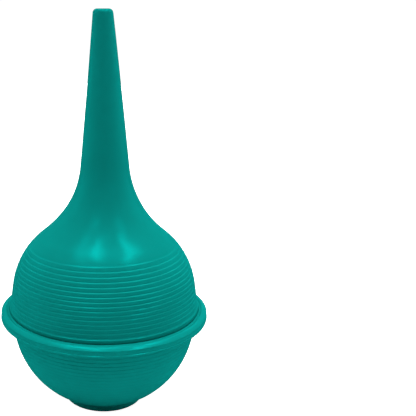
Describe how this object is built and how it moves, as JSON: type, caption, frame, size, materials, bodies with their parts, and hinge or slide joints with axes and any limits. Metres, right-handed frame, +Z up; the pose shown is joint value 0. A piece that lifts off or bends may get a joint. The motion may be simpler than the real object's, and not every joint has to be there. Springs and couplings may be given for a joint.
{
  "type": "squeeze bulb",
  "caption": "Soft squeeze bulb with a long tapered nozzle, a flared neck, a ribbed dome, a flange round the middle, a ribbed bowl and a flat foot.",
  "frame": {"origin": "centre of the foot's underside, where the bulb stands", "axes": "+Z up the bulb's axis of revolution to the nozzle tip; X and Y are free, because the bulb is round"},
  "size_m": [0.0678, 0.0678, 0.1272],
  "materials": {
    "teal_soft_pvc": "satin"
  },
  "bodies": {
    "cup": {"cup_rim": "teal_soft_pvc", "cup_wall": "teal_soft_pvc"},
    "foot": {"cup_foot": "teal_soft_pvc"},
    "nozzle_half": {"nozzle_half": "teal_soft_pvc"}
  },
  "joints": [
    {"name": "thumb_press", "type": "slide", "parent": "cup", "child": "foot", "axis": [0, 0, 1], "range_m": [0, 0.012], "stiffness_N_per_m": 1200, "springref_m": -0.0006, "deforming": ["cup_wall"]},
    {"name": "halves_part", "type": "slide", "parent": "cup", "child": "nozzle_half", "axis": [0, 0, 1], "range_m": [0, 0.02]}
  ]
}
